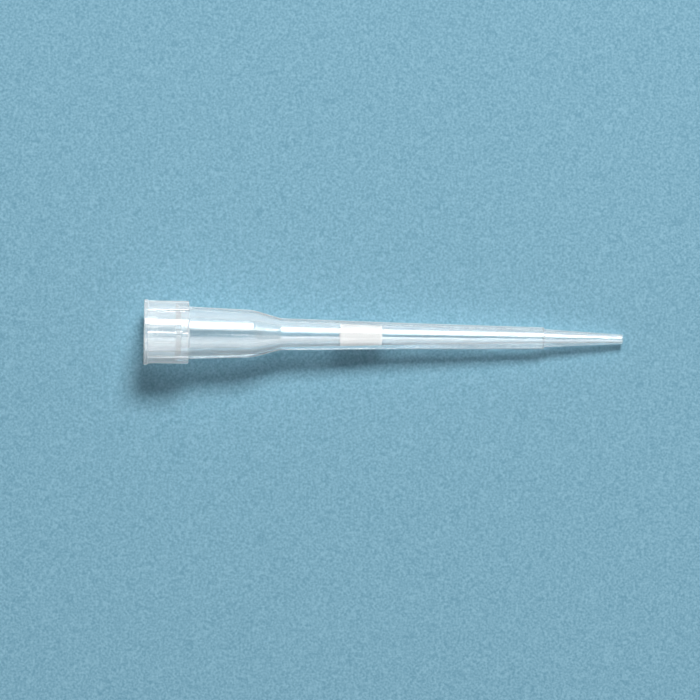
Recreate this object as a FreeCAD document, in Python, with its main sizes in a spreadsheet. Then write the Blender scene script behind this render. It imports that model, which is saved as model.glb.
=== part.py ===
import FreeCAD, Part
import os

from FreeCAD import Vector
import Sketcher

# An extended 10 microlitre filter pipette tip, standing on its open end with the nose up.
# The Z axis is the axis of the tip and z = 0 is the plane of its open end.
# Two pieces: the moulded tip body, and the porous filter plug pressed into its shaft.
# All sizes are millimetres. "dia" is a diameter, "wall" the thickness on one side.

SIZES = {
    # collar: a rim, a short flare, then a tube with axial ribs that ends in a square ledge
    "rim_dia": 6.25,
    "rim_thickness": 0.40,
    "rim_round": 0.10,
    "flare_dia": 6.04,
    "flare_length": 0.80,
    "collar_dia": 5.90,
    "collar_length": 4.30,
    "rib_count": 7,
    "rib_radius": 0.305,
    "rib_height": 0.13,
    # barrel and neck
    "barrel_top_dia": 5.00,
    "barrel_end_dia": 4.54,
    "barrel_length": 6.10,
    "neck_length": 2.70,
    "neck_round": 4.00,
    "throat_round": 0.80,
    # shaft, in two tapers, and the stepped nose
    "shaft_top_dia": 3.04,
    "shaft_mid_dia": 2.51,
    "shaft_end_dia": 2.05,
    "upper_shaft_length": 11.60,
    "lower_shaft_length": 13.70,
    "nose_top_dia": 1.72,
    "nose_end_dia": 0.88,
    "nose_length": 7.60,
    "nose_round": 0.08,
    # bore: lead-in, parallel socket for the pipette's nozzle, shoulder, then the outside less a wall
    "mouth_dia": 4.35,
    "lead_depth": 0.50,
    "socket_dia": 3.95,
    "socket_depth": 3.00,
    "shoulder_length": 0.55,
    "barrel_wall": 0.95,
    "shaft_wall": 0.68,
    "orifice_dia": 0.45,
    # filter plug, seated below the throat of the shaft
    "plug_offset": 5.65,
    "plug_length": 4.05,
    "plug_clearance": 0.01,
}

# Stations along the axis
RIM_TOP = "sizes.rim_thickness"
FLARE_END = "sizes.rim_thickness + sizes.flare_length"
LEDGE = "sizes.collar_length"
NECK = LEDGE + " + sizes.barrel_length"
THROAT = NECK + " + sizes.neck_length"
MID_SHAFT = THROAT + " + sizes.upper_shaft_length"
STEP = MID_SHAFT + " + sizes.lower_shaft_length"
NOSE_END = STEP + " + sizes.nose_length"
SHOULDER_END = "sizes.socket_depth + sizes.shoulder_length"
PLUG_START = THROAT + " + sizes.plug_offset"
PLUG_END = PLUG_START + " + sizes.plug_length"

AXIS = None  # a radius or height of nothing: the point lies on the sketch's own axis


def radius(name):
    return "sizes.%s / 2" % name


def inside(name, wall):
    return "sizes.%s / 2 - sizes.%s" % (name, wall)


def plug_radius(distance):
    """The upper shaft's bore at a distance below the throat, less the plug's clearance."""
    taper = "(sizes.shaft_top_dia - sizes.shaft_mid_dia) / 2 / sizes.upper_shaft_length"
    bore = inside("shaft_top_dia", "shaft_wall")
    return "%s - %s * (%s) - sizes.plug_clearance" % (bore, taper, distance)


OUTSIDE = [
    (AXIS, AXIS),
    (radius("rim_dia"), AXIS),
    (radius("rim_dia"), RIM_TOP),
    (radius("flare_dia"), RIM_TOP),
    (radius("collar_dia"), FLARE_END),
    (radius("collar_dia"), LEDGE),
    (radius("barrel_top_dia"), LEDGE),
    (radius("barrel_end_dia"), NECK),
    (radius("shaft_top_dia"), THROAT),
    (radius("shaft_mid_dia"), MID_SHAFT),
    (radius("shaft_end_dia"), STEP),
    (radius("nose_top_dia"), STEP),
    (radius("nose_end_dia"), NOSE_END),
    (AXIS, NOSE_END),
]

BORE = [
    (AXIS, AXIS),
    (radius("mouth_dia"), AXIS),
    (radius("socket_dia"), "sizes.lead_depth"),
    (radius("socket_dia"), "sizes.socket_depth"),
    (inside("barrel_top_dia", "barrel_wall"), SHOULDER_END),
    (inside("barrel_end_dia", "barrel_wall"), NECK),
    (inside("shaft_top_dia", "shaft_wall"), THROAT),
    (inside("shaft_mid_dia", "shaft_wall"), MID_SHAFT),
    (inside("shaft_end_dia", "shaft_wall"), STEP),
    (radius("orifice_dia"), NOSE_END),
    (AXIS, NOSE_END),
]

PLUG = [
    (AXIS, PLUG_START),
    (plug_radius("sizes.plug_offset"), PLUG_START),
    (plug_radius("sizes.plug_offset + sizes.plug_length"), PLUG_END),
    (AXIS, PLUG_END),
]


def make_sheet(doc):
    sheet = doc.addObject("Spreadsheet::Sheet", "sizes")
    for row, (alias, number) in enumerate(SIZES.items(), start=1):
        sheet.set("A%d" % row, alias)
        sheet.set("B%d" % row, str(number))
        sheet.setAlias("B%d" % row, alias)
    doc.recompute()
    return sheet


def measure(doc, expression):
    """The present value of a sheet expression, 0 for a point on the axis."""
    if expression is AXIS:
        return 0.0
    return float(doc.getObject("sizes").evalExpression(expression))


def make_body(doc, name):
    body = doc.addObject("PartDesign::Body", name)
    body.Label = name
    return body


def origin_plane(body, role):
    return next(item for item in body.Origin.OriginFeatures if item.Role == role)


def add_sketch(body, name, role):
    sketch = body.newObject("Sketcher::SketchObject", name)
    sketch.AttachmentSupport = (origin_plane(body, role), [""])
    sketch.MapMode = "FlatFace"
    return sketch


def bind_point(sketch, line, along, axis, expression):
    """Hold the start of a line at a distance from the origin, or on the axis itself."""
    if expression is AXIS:
        sketch.addConstraint(Sketcher.Constraint("PointOnObject", line, 1, axis))
        return
    place = measure(sketch.Document, expression)
    index = sketch.addConstraint(Sketcher.Constraint(along, line, 1, place))
    sketch.setExpression("Constraints[%d]" % index, expression)


def draw_outline(sketch, corners):
    """A closed chain of straight lines through corners given as radius and height."""
    doc = sketch.Document
    points = [Vector(measure(doc, r), measure(doc, z), 0) for r, z in corners]
    count = len(points)
    for start in range(count):
        sketch.addGeometry(Part.LineSegment(points[start], points[(start + 1) % count]))
    for line in range(count):
        sketch.addConstraint(Sketcher.Constraint("Coincident", line, 2, (line + 1) % count, 1))
    for line, (across, height) in enumerate(corners):
        bind_point(sketch, line, "DistanceX", -2, across)
        bind_point(sketch, line, "DistanceY", -1, height)


def turn(body, kind, name, corners):
    """A full revolution (or groove) of an outline about the tip's axis."""
    sketch = add_sketch(body, name + "_outline", "XZ_Plane")
    draw_outline(sketch, corners)
    feature = body.newObject("PartDesign::" + kind, name)
    feature.Profile = sketch
    feature.ReferenceAxis = (sketch, ["V_Axis"])
    feature.Angle = 360
    sketch.Visibility = False
    body.Document.recompute()
    return feature


def add_ribs(body):
    """Half-round ribs along the collar, from inside the rim to the ledge, the first facing -Y."""
    doc = body.Document
    sketch = add_sketch(body, "rib_section", "XY_Plane")
    centre = "sizes.collar_dia / 2 + sizes.rib_height - sizes.rib_radius"
    start = Vector(measure(doc, centre), 0, 0)
    circle = Part.Circle(start, Vector(0, 0, 1), measure(doc, "sizes.rib_radius"))
    sketch.addGeometry(circle)
    sketch.addConstraint(Sketcher.Constraint("PointOnObject", 0, 3, -1))
    reach = sketch.addConstraint(Sketcher.Constraint("DistanceX", 0, 3, start.x))
    sketch.setExpression("Constraints[%d]" % reach, centre)
    size = sketch.addConstraint(Sketcher.Constraint("Radius", 0, circle.Radius))
    sketch.setExpression("Constraints[%d]" % size, "sizes.rib_radius")
    facing = FreeCAD.Rotation(Vector(0, 0, 1), -90)
    sketch.AttachmentOffset = FreeCAD.Placement(Vector(0, 0, 0.2), facing)
    sketch.setExpression("AttachmentOffset.Base.z", "sizes.rim_thickness / 2")

    rib = body.newObject("PartDesign::Pad", "rib")
    rib.Profile = sketch
    rib.setExpression("Length", LEDGE + " - sizes.rim_thickness / 2")
    doc.recompute()

    ribs = body.newObject("PartDesign::PolarPattern", "ribs")
    ribs.Originals = [rib]
    ribs.Axis = (sketch, ["N_Axis"])
    ribs.Angle = 360
    ribs.setExpression("Occurrences", "sizes.rib_count")
    body.Tip = ribs
    doc.recompute()


def ring_edges(body, rings):
    """Names of the full circles of a body that lie at the given radii and heights."""
    doc = body.Document
    wanted = [(measure(doc, r), measure(doc, z)) for r, z in rings]
    names = []
    for number, edge in enumerate(body.Shape.Edges, start=1):
        if not isinstance(edge.Curve, Part.Circle):
            continue
        here = (edge.Curve.Radius, edge.Curve.Center.z)
        if any(abs(here[0] - r) < 1e-4 and abs(here[1] - z) < 1e-4 for r, z in wanted):
            names.append("Edge%d" % number)
    return names


def round_rings(body, name, size, rings):
    edges = ring_edges(body, rings)
    if not edges:
        raise RuntimeError("no edge found for " + name)
    base = body.Tip
    fillet = body.newObject("PartDesign::Fillet", name)
    fillet.Base = (base, edges)
    fillet.setExpression("Radius", "sizes." + size)
    body.Tip = fillet
    body.Document.recompute()


def make_tip_body(doc):
    body = make_body(doc, "tip_body")
    turn(body, "Revolution", "outside", OUTSIDE)
    round_rings(body, "neck_bend", "neck_round", [(radius("barrel_end_dia"), NECK)])
    round_rings(body, "throat_bend", "throat_round", [(radius("shaft_top_dia"), THROAT)])
    round_rings(body, "nose_edges", "nose_round",
                [(radius("shaft_end_dia"), STEP), (radius("nose_end_dia"), NOSE_END)])
    round_rings(body, "rim_edges", "rim_round",
                [(radius("rim_dia"), AXIS), (radius("rim_dia"), RIM_TOP)])
    solid_volume = body.Shape.Volume
    turn(body, "Groove", "bore", BORE)
    if body.Shape.Volume >= solid_volume:
        raise RuntimeError("the bore cut nothing")
    add_ribs(body)
    return body


def make_filter_plug(doc):
    body = make_body(doc, "filter_plug")
    turn(body, "Revolution", "plug", PLUG)
    return body


def check_document(doc, bodies):
    for item in doc.Objects:
        if "Invalid" in item.State or "Error" in item.State:
            raise RuntimeError("failed: %s %s" % (item.Name, item.State))
    for body in bodies:
        if body.Shape.isNull() or not body.Shape.isValid() or len(body.Shape.Solids) != 1:
            raise RuntimeError("not one valid solid: " + body.Label)


def main():
    doc = FreeCAD.newDocument("pipette_tip")
    make_sheet(doc)
    bodies = [make_tip_body(doc), make_filter_plug(doc)]
    doc.recompute()
    check_document(doc, bodies)
    os.makedirs("parts", exist_ok=True)
    for body in bodies:
        body.Shape.exportStep("parts/%s.step" % body.Label)
        box = body.Shape.optimalBoundingBox()
        print("%s: %.3f mm3, z %.2f to %.2f, across %.3f x %.3f"
              % (body.Label, body.Shape.Volume, box.ZMin, box.ZMax, box.XLength, box.YLength))


main()
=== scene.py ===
import math

import bmesh
import bpy
from mathutils import Matrix, Vector, noise


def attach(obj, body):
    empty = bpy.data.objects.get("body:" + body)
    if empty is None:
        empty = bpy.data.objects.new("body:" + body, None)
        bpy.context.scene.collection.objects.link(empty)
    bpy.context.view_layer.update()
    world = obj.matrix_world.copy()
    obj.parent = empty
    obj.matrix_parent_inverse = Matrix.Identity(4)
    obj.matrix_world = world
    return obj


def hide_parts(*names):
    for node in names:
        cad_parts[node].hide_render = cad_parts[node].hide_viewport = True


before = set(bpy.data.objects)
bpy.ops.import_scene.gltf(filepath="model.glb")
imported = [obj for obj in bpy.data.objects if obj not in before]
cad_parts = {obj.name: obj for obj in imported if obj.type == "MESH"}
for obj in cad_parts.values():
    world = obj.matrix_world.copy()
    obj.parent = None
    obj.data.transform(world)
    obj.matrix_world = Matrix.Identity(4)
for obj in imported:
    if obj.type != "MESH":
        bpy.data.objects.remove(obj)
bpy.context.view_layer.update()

# The looks of the filter pipette tip. The Z axis is the tip's axis, the open end is at z = 0 and
# the nose is up. Lengths are millimetres and become metres through MM, except in the materials,
# where they are metres and a texture's scale is per metre.
MM = 0.001

# Tip body, outside
RIM_DIA, RIM_THICKNESS, RIM_ROUND = 6.25, 0.40, 0.10
FLARE_DIA, FLARE_LENGTH, COLLAR_DIA, COLLAR_LENGTH = 6.04, 0.80, 5.90, 4.30
FLARE_ROUND = 3 * FLARE_LENGTH
RIB_COUNT, RIB_RADIUS, RIB_HEIGHT = 7, 0.305, 0.13
FIRST_RIB = -math.pi / 2
BARREL_TOP_DIA, BARREL_END_DIA, BARREL_LENGTH = 5.00, 4.54, 6.10
NECK_LENGTH, NECK_ROUND, THROAT_ROUND = 2.70, 4.00, 0.80
SHAFT_TOP_DIA, SHAFT_MID_DIA, SHAFT_END_DIA = 3.04, 2.51, 2.05
UPPER_SHAFT_LENGTH, LOWER_SHAFT_LENGTH, SHAFT_ROUND = 11.60, 13.70, 160.0
NOSE_TOP_DIA, NOSE_END_DIA, NOSE_LENGTH, NOSE_ROUND = 1.72, 0.88, 7.60, 0.08

# Tip body, bore
MOUTH_DIA, LEAD_DEPTH = 4.35, 0.50
SOCKET_DIA, SOCKET_DEPTH, SHOULDER_LENGTH = 3.95, 3.00, 0.55
BARREL_WALL, SHAFT_WALL, ORIFICE_DIA = 0.95, 0.68, 0.45

# Small roundings that the solids leave out: plain edges, the ledge and the ribs' roots
EDGE_ROUND, LEDGE_ROUND, ROOT_BLEND = 0.05, 0.09, 0.03

# Filter plug: its grains are bumps on the end faces
PLUG_OFFSET, PLUG_LENGTH, PLUG_EDGE_ROUND = 5.65, 4.05, 0.06
PLUG_SQUEEZE = 0.006
GRAIN_WIDTH, GRAIN_HEIGHT = 0.09, 0.012

# Mesh fineness: how close to a rounding a straight is held so that it shades flat, and how far
# out the fine steps across a rib go, as a share of its half width
ARC_STEPS, HOLD = 5, 0.012
RIB_STEPS, FLUTE_STEPS, RIB_MARGIN = 11, 6, 1.2
PLUG_SEGMENTS, PLUG_STEP = 128, 0.05

# Stations along the axis
NECK = COLLAR_LENGTH + BARREL_LENGTH
THROAT = NECK + NECK_LENGTH
MID_SHAFT = THROAT + UPPER_SHAFT_LENGTH
STEP = MID_SHAFT + LOWER_SHAFT_LENGTH
NOSE_END = STEP + NOSE_LENGTH
PLUG_START = THROAT + PLUG_OFFSET
PLUG_END = PLUG_START + PLUG_LENGTH


# ---------------------------------------------------------------- meshes

def extend(points, place):
    """Go straight on to a place, with a point held close to each end of the straight."""
    if points:
        step = (place - points[-1]).normalized() * HOLD
        if (place - points[-1]).length > 3 * HOLD:
            points += [points[-1] + step, place - step]
    points.append(place)


def rounded(corners):
    """Points along a chain of (radius, height, rounding) corners, each corner an arc."""
    points = []
    for index, (r, z, size) in enumerate(corners):
        here = Vector((r, z))
        if size == 0 or index in (0, len(corners) - 1):
            extend(points, here)
            continue
        back = (Vector(corners[index - 1][:2]) - here).normalized()
        ahead = (Vector(corners[index + 1][:2]) - here).normalized()
        half = back.angle(ahead) / 2
        reach = size / math.tan(half)
        centre = here + (back + ahead).normalized() * (size / math.sin(half))
        start = here + back * reach - centre
        end = here + ahead * reach - centre
        sweep = start.angle_signed(end)
        extend(points, centre + start)
        for step in range(1, ARC_STEPS + 1):
            turned = Matrix.Rotation(-sweep * step / ARC_STEPS, 2) @ start
            points.append(centre + turned)
    return points


def smooth_max(a, b, blend):
    return max(a, b) + max(blend - abs(a - b), 0.0) ** 2 / (4 * blend)


def rib_reach(angle):
    """How far the nearest half-round rib reaches from the axis at an angle, or 0 beside it."""
    pitch = 2 * math.pi / RIB_COUNT
    offset = (angle - FIRST_RIB + pitch / 2) % pitch - pitch / 2
    centre = COLLAR_DIA / 2 + RIB_HEIGHT - RIB_RADIUS
    inside = RIB_RADIUS ** 2 - (centre * math.sin(offset)) ** 2
    return centre * math.cos(offset) + math.sqrt(inside) if inside > 0 else 0.0


def collar_angles():
    """Angles round the tip, fine across each rib and its root and coarser between ribs."""
    half = math.pi / RIB_COUNT
    root = RIB_MARGIN * math.asin(RIB_RADIUS / (COLLAR_DIA / 2))
    side = [root * step / RIB_STEPS for step in range(RIB_STEPS)]
    side += [root + (half - root) * step / FLUTE_STEPS for step in range(FLUTE_STEPS)]
    sector = [-half] + [-angle for angle in reversed(side[1:])] + side
    return [FIRST_RIB + 2 * half * rib + angle for rib in range(RIB_COUNT) for angle in sector]


def outer_rows():
    """Rows of the outside as (radius, height, inset, ribbed): ribbed rows follow the ribs."""
    rim, collar = RIM_DIA / 2, COLLAR_DIA / 2
    head = rounded([
        (MOUTH_DIA / 2, 0, 0),
        (rim, 0, RIM_ROUND),
        (rim, RIM_THICKNESS, RIM_ROUND),
        (FLARE_DIA / 2, RIM_THICKNESS, 0),
        (collar, RIM_THICKNESS + FLARE_LENGTH, FLARE_ROUND),
        (collar, COLLAR_LENGTH - LEDGE_ROUND, 0)])
    ledge = []
    for step in range(1, ARC_STEPS + 1):
        turn = math.pi / 2 * step / ARC_STEPS
        height = COLLAR_LENGTH - LEDGE_ROUND * (1 - math.sin(turn))
        ledge.append((collar, height, LEDGE_ROUND * (1 - math.cos(turn)), True))
    tail = rounded([
        (collar - LEDGE_ROUND, COLLAR_LENGTH, 0),
        (BARREL_TOP_DIA / 2, COLLAR_LENGTH, EDGE_ROUND),
        (BARREL_END_DIA / 2, NECK, NECK_ROUND),
        (SHAFT_TOP_DIA / 2, THROAT, THROAT_ROUND),
        (SHAFT_MID_DIA / 2, MID_SHAFT, SHAFT_ROUND),
        (SHAFT_END_DIA / 2, STEP, NOSE_ROUND),
        (NOSE_TOP_DIA / 2, STEP, EDGE_ROUND),
        (NOSE_END_DIA / 2, NOSE_END, NOSE_ROUND),
        (ORIFICE_DIA / 2, NOSE_END, 0)])
    rows = [(p.x, p.y, 0.0, p.y > RIM_THICKNESS / 2) for p in head]
    return rows + ledge + [(p.x, p.y, 0.0, False) for p in tail[1:]]


def bore_rows():
    """Rows of the bore from the orifice back to the mouth."""
    points = rounded([
        (ORIFICE_DIA / 2, NOSE_END, 0),
        (SHAFT_END_DIA / 2 - SHAFT_WALL, STEP, SHAFT_ROUND),
        (SHAFT_MID_DIA / 2 - SHAFT_WALL, MID_SHAFT, SHAFT_ROUND),
        (SHAFT_TOP_DIA / 2 - SHAFT_WALL, THROAT, THROAT_ROUND),
        (BARREL_END_DIA / 2 - BARREL_WALL, NECK, NECK_ROUND),
        (BARREL_TOP_DIA / 2 - BARREL_WALL, SOCKET_DEPTH + SHOULDER_LENGTH, EDGE_ROUND),
        (SOCKET_DIA / 2, SOCKET_DEPTH, EDGE_ROUND),
        (SOCKET_DIA / 2, LEAD_DEPTH, EDGE_ROUND),
        (MOUTH_DIA / 2, 0, 0)])
    return [(p.x, p.y, 0.0, False) for p in points[1:-1]]


def row_radius(row, angle):
    r, _, inset, ribbed = row
    if ribbed:
        reach = rib_reach(angle)
        r = smooth_max(r, reach, ROOT_BLEND) if reach else r
    return r - inset


def on_circle(radius, angle, height):
    return Vector((radius * math.cos(angle), radius * math.sin(angle), height)) * MM


def join_rings(bm, rings):
    """Faces between each ring of corners and the next."""
    for ring, following in zip(rings, rings[1:]):
        for left in range(len(ring)):
            right = (left + 1) % len(ring)
            bm.faces.new((ring[left], ring[right], following[right], following[left]))


def mesh_object(name, bm):
    bmesh.ops.recalc_face_normals(bm, faces=bm.faces)
    mesh = bpy.data.meshes.new(name)
    bm.to_mesh(mesh)
    bm.free()
    mesh.shade_smooth()
    piece = bpy.data.objects.new(name, mesh)
    bpy.context.scene.collection.objects.link(piece)
    return piece


def make_tip():
    """The moulded tip: one closed skin along the outside and back through the bore."""
    bm = bmesh.new()
    angles = collar_angles()
    rings = [[bm.verts.new(on_circle(row_radius(row, angle), angle, row[1])) for angle in angles]
             for row in outer_rows() + bore_rows()]
    join_rings(bm, rings + rings[:1])
    return mesh_object("moulded_tip", bm)


def plug_radius(distance):
    """The bore's radius at a distance below the throat, plus the squeeze into its wall."""
    fall = (SHAFT_TOP_DIA - SHAFT_MID_DIA) / 2 / UPPER_SHAFT_LENGTH
    return SHAFT_TOP_DIA / 2 - SHAFT_WALL - fall * distance + PLUG_SQUEEZE


def grain(place):
    return noise.noise(place / (GRAIN_WIDTH * MM)) * GRAIN_HEIGHT * MM


def make_plug():
    """The porous plug: full against the wall, with rounded ends of sintered grains."""
    near, far = plug_radius(PLUG_OFFSET), plug_radius(PLUG_OFFSET + PLUG_LENGTH)
    corners = rounded([(0, PLUG_START, 0), (near, PLUG_START, PLUG_EDGE_ROUND),
                       (far, PLUG_END, PLUG_EDGE_ROUND), (0, PLUG_END, 0)])
    points = []
    for start, stop in zip(corners, corners[1:]):
        steps = max(1, round((stop - start).length / PLUG_STEP))
        points += [start.lerp(stop, step / steps) for step in range(steps)]
    angles = [2 * math.pi * step / PLUG_SEGMENTS for step in range(PLUG_SEGMENTS)]
    bm = bmesh.new()
    rings = []
    for point in points[1:]:
        on_end = min(point.y - PLUG_START, PLUG_END - point.y) < PLUG_EDGE_ROUND / 2
        rings.append([])
        for angle in angles:
            place = on_circle(point.x, angle, point.y)
            if on_end:
                place.z += grain(place)
            rings[-1].append(bm.verts.new(place))
    join_rings(bm, rings)
    for ring, height in ((rings[0], PLUG_START), (rings[-1], PLUG_END)):
        centre = bm.verts.new(Vector((0, 0, height)) * MM)
        for left in range(PLUG_SEGMENTS):
            bm.faces.new((centre, ring[left], ring[(left + 1) % PLUG_SEGMENTS]))
    return mesh_object("porous_filter", bm)


# ---------------------------------------------------------------- materials

class Nodes:
    """A short way to fill a shader's node tree."""

    def __init__(self, tree, output):
        self.tree = tree
        self.tree.nodes.clear()
        self.output = self.add(output)

    def add(self, kind, **inputs):
        """A node with values on its own sockets; an underscore stands for a space."""
        node = self.tree.nodes.new(kind)
        for name, value in inputs.items():
            node.inputs[name.replace("_", " ")].default_value = value
        return node

    def join(self, source, target):
        """Feed a socket from another one, or give it a plain number."""
        if isinstance(source, float):
            target.default_value = source
        else:
            self.tree.links.new(source, target)

    def surface(self, shader):
        self.join(shader, self.output.inputs["Surface"])

    def place(self):
        return self.add("ShaderNodeTexCoord").outputs["Object"]

    def noise(self, scale):
        texture = self.add("ShaderNodeTexNoise", Scale=scale, Detail=2.0)
        self.join(self.place(), texture.inputs["Vector"])
        return texture.outputs["Fac"]

    def remap(self, value, low, high, low_in=0.3, high_in=0.7):
        """A value carried from one range to another, by default from where most noise lies."""
        node = self.add("ShaderNodeMapRange",
                        From_Min=low_in, From_Max=high_in, To_Min=low, To_Max=high)
        self.join(value, node.inputs["Value"])
        return node.outputs["Result"]

    def combine(self, operation, first, second):
        node = self.add("ShaderNodeMath")
        node.operation = operation
        self.join(first, node.inputs[0])
        self.join(second, node.inputs[1])
        return node.outputs["Value"]

    def blend(self, factor, first, second):
        """One colour into another."""
        node = self.add("ShaderNodeMix")
        node.data_type = "RGBA"
        node.inputs["A"].default_value = (*first, 1)
        node.inputs["B"].default_value = (*second, 1)
        self.join(factor, node.inputs["Factor"])
        return node.outputs["Result"]

    def mix(self, factor, first, second):
        """One shader into another."""
        node = self.add("ShaderNodeMixShader")
        self.join(factor, node.inputs["Fac"])
        self.join(first.outputs[0], node.inputs[1])
        self.join(second.outputs[0], node.inputs[2])
        return node

    def curve(self, value, stops):
        """A value carried through (place, level) stops."""
        node = self.add("ShaderNodeValToRGB")
        ends = node.color_ramp.elements
        while len(ends) < len(stops):
            ends.new(1.0)
        for end, (place, level) in zip(ends, stops):
            end.position = place
            end.color = (level, level, level, 1)
        self.join(value, node.inputs["Fac"])
        return node.outputs["Color"]

    def bump(self, height, distance, strength):
        node = self.add("ShaderNodeBump", Strength=strength, Distance=distance)
        self.join(height, node.inputs["Height"])
        return node.outputs["Normal"]


def new_material(name):
    material = bpy.data.materials.new(name)
    material.use_nodes = True
    return material, Nodes(material.node_tree, "ShaderNodeOutputMaterial")


# The clear plastic: soft flow marks in its tint and gloss, and a fine waviness
PLASTIC_IOR = 1.49
FLOW_SCALE = 350.0
CLEAR_TINTS = (0.98, 0.983, 0.983), (0.995, 0.996, 0.996)
CLEAR_ROUGHNESS = 0.045, 0.065
WAVE_SCALE, WAVE_HEIGHT, WAVE_STRENGTH = 2500.0, 0.0000003, 0.5

# Its milk: the tints, the share of light that it lets through, how much of it shows, from seen
# square on (0) to seen edge on (1), and how much more of it the ribbed collar shows
MILK_TINTS = (0.885, 0.93, 0.945), (0.92, 0.95, 0.96)
MILK_THROUGH = 0.1
EDGE_BLEND = 0.35
HAZE = ((0.0, 0.04), (0.06, 0.13), (0.2, 0.20), (0.41, 0.17),
        (0.51, 0.22), (0.61, 0.25), (1.0, 0.65))
COLLAR_HAZE = 0.06


def polypropylene():
    """Clear moulded plastic: refracting, and a little milky."""
    material, n = new_material("clear_polypropylene")
    flow = n.noise(FLOW_SCALE)
    clear = n.add("ShaderNodeBsdfPrincipled", IOR=PLASTIC_IOR, Transmission_Weight=1.0)
    n.join(n.blend(flow, *CLEAR_TINTS), clear.inputs["Base Color"])
    n.join(n.remap(flow, *CLEAR_ROUGHNESS), clear.inputs["Roughness"])
    n.join(n.bump(n.noise(WAVE_SCALE), WAVE_HEIGHT, WAVE_STRENGTH), clear.inputs["Normal"])
    milk = n.blend(flow, *MILK_TINTS)
    front = n.add("ShaderNodeBsdfDiffuse")
    through = n.add("ShaderNodeBsdfTranslucent")
    n.join(milk, front.inputs["Color"])
    n.join(milk, through.inputs["Color"])
    edge = n.add("ShaderNodeLayerWeight", Blend=EDGE_BLEND)
    place = n.add("ShaderNodeSeparateXYZ")
    n.join(n.place(), place.inputs["Vector"])
    ledge = COLLAR_LENGTH * MM
    collar = n.remap(place.outputs["Z"], COLLAR_HAZE, 0.0, ledge, ledge + LEDGE_ROUND * MM)
    milky = n.combine("ADD", n.curve(edge.outputs["Facing"], HAZE), collar)
    n.surface(n.mix(milky, clear, n.mix(MILK_THROUGH, front, through)).outputs[0])
    return material


# The porous filter: light goes a little way into it
GRAIN_SCALE = 11000.0
# The grains' own tint, and a darker tint that paints shade into the pores
GRAIN_AND_PORE_SHADE_TINTS = (0.98, 0.965, 0.945), (0.90, 0.885, 0.865)
PORE_DEPTH, PORE_STRENGTH = 0.00003, 0.6
FILTER_ROUGHNESS = 0.85
FILTER_GLOW, FILTER_GLOW_REACH = 0.3, 0.0002


def porous_polyethylene():
    """Matt white sintered grains, with painted shade darkening the pores between them."""
    material, n = new_material("porous_polyethylene")
    grains = n.add("ShaderNodeTexVoronoi", Scale=GRAIN_SCALE)
    n.join(n.place(), grains.inputs["Vector"])
    pore_depth_and_shade = n.remap(grains.outputs["Distance"], 0.0, 1.0, 0.25, 0.75)
    body = n.add("ShaderNodeBsdfPrincipled", Roughness=FILTER_ROUGHNESS,
                 Subsurface_Weight=FILTER_GLOW, Subsurface_Scale=1.0,
                 Subsurface_Radius=(FILTER_GLOW_REACH,) * 3)
    # Painted shade: the recessed pores get the darker tint as well as their dent
    n.join(n.blend(pore_depth_and_shade, *GRAIN_AND_PORE_SHADE_TINTS), body.inputs["Base Color"])
    n.join(n.bump(pore_depth_and_shade, -PORE_DEPTH, PORE_STRENGTH), body.inputs["Normal"])
    n.surface(body.outputs[0])
    return material


# The paper's colour, and how far its fibres go from it
PAPER = (0.222, 0.445, 0.57)
FIBRE = (0.29, 0.20, 0.17)
FIBRE_SCALE = 4500.0
PAPER_ROUGHNESS, PAPER_SPECULAR = 0.8, 0.3


def pale_paper(name):
    """Plain pale blue paper, seen from its front only."""
    material, n = new_material(name)
    fibre = n.remap(n.noise(FIBRE_SCALE), 0.0, 1.0)
    sheet = n.add("ShaderNodeBsdfPrincipled", Roughness=PAPER_ROUGHNESS,
                  Specular_IOR_Level=PAPER_SPECULAR)
    dark, light = ([level * (1 + side * part) for level, part in zip(PAPER, FIBRE)]
                   for side in (-1, 1))
    n.join(n.blend(fibre, dark, light), sheet.inputs["Base Color"])
    back = n.add("ShaderNodeNewGeometry").outputs["Backfacing"]
    n.surface(n.mix(back, sheet, n.add("ShaderNodeBsdfTransparent")).outputs[0])
    return material


# ---------------------------------------------------------------- stage, light and camera

# The view: the roll of the tip, its tilt where it lies on rim and step, and the picture's framing
VIEW_ROLL = math.radians(3.2)
VIEW_TILT = math.atan((RIM_DIA - SHAFT_END_DIA) / 2 / STEP)
AXIS_SLOPE = math.radians(0.87)
CAMERA_DISTANCE, FRAME_WIDTH, SENSOR = 400.0, 67.1, 36.0
AIM_HEIGHT, AIM_BELOW_AXIS = 19.75, 1.42
CLIP_METRES = 0.01, 20.0

# Half sizes of the sheets, and the gap from the tip to the backdrop
FLOOR_HALF, BACKDROP_HALF, BACKDROP_GAP = 600.0, 400.0, 0.05

LAMP_DISTANCE = 900.0

# A weak fill that the camera doesn't see
FILL_COLOUR, FILL_STRENGTH = (0.80, 0.90, 1.0), 0.04


def view_axes():
    """Unit vectors to the camera, along the nose as it appears, and across it (image up)."""
    toward = Vector((-math.sin(VIEW_ROLL) * math.cos(VIEW_TILT),
                     -math.cos(VIEW_ROLL) * math.cos(VIEW_TILT), -math.sin(VIEW_TILT)))
    along = (Vector((0, 0, 1)) - toward * toward.z).normalized()
    return toward, along, toward.cross(along)


TOWARD, ALONG, ACROSS = view_axes()


def make_camera():
    right = ALONG * math.cos(AXIS_SLOPE) + ACROSS * math.sin(AXIS_SLOPE)
    up = TOWARD.cross(right)
    target = Vector((0, 0, AIM_HEIGHT)) - up * AIM_BELOW_AXIS
    camera = bpy.data.cameras.new("camera")
    camera.sensor_width = SENSOR
    camera.lens = SENSOR * CAMERA_DISTANCE / FRAME_WIDTH
    camera.clip_start, camera.clip_end = CLIP_METRES
    holder = bpy.data.objects.new("camera", camera)
    turn = Matrix((right, up, TOWARD)).transposed().to_4x4()
    holder.matrix_world = Matrix.Translation((target + TOWARD * CAMERA_DISTANCE) * MM) @ turn
    bpy.context.scene.collection.objects.link(holder)
    bpy.context.scene.camera = holder


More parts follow.
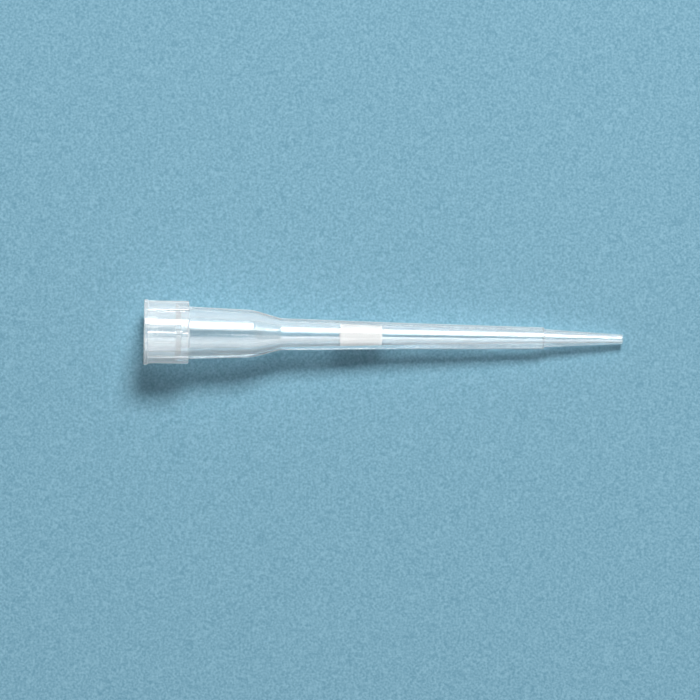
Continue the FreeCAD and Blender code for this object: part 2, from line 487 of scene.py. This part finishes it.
def make_sheet(name, centre, right, up, half):
    """A square stage sheet whose front faces along right x up."""
    bm = bmesh.new()
    sides = (-1, -1), (1, -1), (1, 1), (-1, 1)
    corners = [centre + (right * a + up * b) * half for a, b in sides]
    bm.faces.new([bm.verts.new(corner * MM) for corner in corners])
    mesh = bpy.data.meshes.new(name)
    bm.to_mesh(mesh)
    bm.free()
    sheet = bpy.data.objects.new(name, mesh)
    bpy.context.scene.collection.objects.link(sheet)
    mesh.materials.append(pale_paper(name))
    sheet.visible_shadow = False
    return sheet


def make_stage():
    """The floor that the tip stands on and the backdrop behind it.

    The floor shows to the camera alone, and the backdrop gives matt surfaces no light.
    """
    floor = make_sheet("floor", Vector((0, 0, 0)), Vector((1, 0, 0)), Vector((0, 1, 0)),
                       FLOOR_HALF)
    floor.visible_diffuse = floor.visible_glossy = floor.visible_transmission = False
    behind = RIM_DIA / 2 * math.cos(VIEW_TILT) + BACKDROP_GAP
    backdrop = make_sheet("backdrop", -TOWARD * behind, ALONG, ACROSS, BACKDROP_HALF)
    backdrop.visible_diffuse = False
    return floor, backdrop


def make_softbox(name, angle, lean, spread, length, radiance):
    """A rectangular lamp facing the tip.

    It is turned by an angle across the tip from the view axis and leans towards the nose;
    spread is half its width as an angle and length is in millimetres.
    """
    lamp = bpy.data.lights.new(name, "AREA")
    lamp.shape = "RECTANGLE"
    lamp.size = 2 * LAMP_DISTANCE * math.tan(math.radians(spread)) * MM
    lamp.size_y = length * MM
    lamp.energy = math.pi * radiance * lamp.size * lamp.size_y
    holder = bpy.data.objects.new(name, lamp)
    aim = Vector((0, 0, AIM_HEIGHT))
    angle, lean = math.radians(angle), math.radians(lean)
    level = TOWARD * math.cos(angle) + ACROSS * math.sin(angle)
    out = level * math.cos(lean) + ALONG * math.sin(lean)
    side = level.cross(ALONG)
    turn = Matrix((side, out.cross(side), out)).transposed().to_4x4()
    holder.matrix_world = Matrix.Translation((aim + out * LAMP_DISTANCE) * MM) @ turn
    bpy.context.scene.collection.objects.link(holder)
    return holder


def collect(name, objects):
    group = bpy.data.collections.new(name)
    for one in objects:
        group.objects.link(one)
    return group


def make_lamps(tip, plug, floor, backdrop):
    """Each lamp lights only some objects, so that it adds no second shadow.

    A lamp's place is its angle, lean, half width and length, as make_softbox takes them. Both
    pieces stop a lamp's light, unless the lamp names what does.
    """
    key = 40, 10, 8.5, 300.0
    both = tip, plug
    for name, place, radiance, lit, stoppers in (
            ("key_softbox", key, 38.5, both, ()),
            ("paper_softbox", key, 32.0, (backdrop,), ()),
            # The key's light that reaches the paper through the clear walls
            ("through_softbox", key, 6.5, (backdrop,), (plug,)),
            ("floor_softbox", (0, 90, 30, 1000.0), 3.5, (floor,), ()),
            # A soft light on the plug's back, which nothing else reaches through the backdrop
            ("back_softbox", (180, 10, 22, 600.0), 2.2, (plug,), (plug,)),
            ("glow_softbox", (40, 10, 12, 300.0), 7.0, both, ()),
            ("wide_softbox", (39, 11.25, 22, 261.0), 4.5, both, ()),
            ("low_strip", (17, -19, 7, 540.0), 6.0, both, ()),
            ("edge_strip", (11.5, 0.5, 5.5, 31.0), 19.0, both, ()),
            ("fill_strip", (-47, 14, 25, 660.0), 3.4, both, ())):
        linking = make_softbox(name, *place, radiance).light_linking
        linking.receiver_collection = collect(name + "_lights", lit)
        if stoppers:
            linking.blocker_collection = collect(name + "_stops", stoppers)


def make_world():
    """A weak fill, and the paper's colour for rays that have met no matt surface yet."""
    world = bpy.data.worlds.new("studio")
    world.use_nodes = True
    n = Nodes(world.node_tree, "ShaderNodeOutputWorld")
    fill = n.add("ShaderNodeBackground", Color=(*FILL_COLOUR, 1), Strength=FILL_STRENGTH)
    seen = n.add("ShaderNodeBackground", Color=(*PAPER, 1))
    path = n.add("ShaderNodeLightPath").outputs
    showing = path["Is Camera Ray"]
    for kind in ("Is Transmission Ray", "Is Glossy Ray"):
        showing = n.combine("MAXIMUM", showing, path[kind])
    direct = n.combine("LESS_THAN", path["Diffuse Depth"], 0.5)
    n.surface(n.mix(n.combine("MULTIPLY", showing, direct), fill, seen).outputs[0])
    bpy.context.scene.world = world


def dress(piece, node, material):
    piece.data.materials.append(material)
    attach(piece, "root")
    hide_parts(node)


bpy.context.scene.view_settings.view_transform = "Standard"
tip, plug = make_tip(), make_plug()
dress(tip, "tip_body", polypropylene())
dress(plug, "filter_plug", porous_polyethylene())
make_lamps(tip, plug, *make_stage())
make_world()
make_camera()
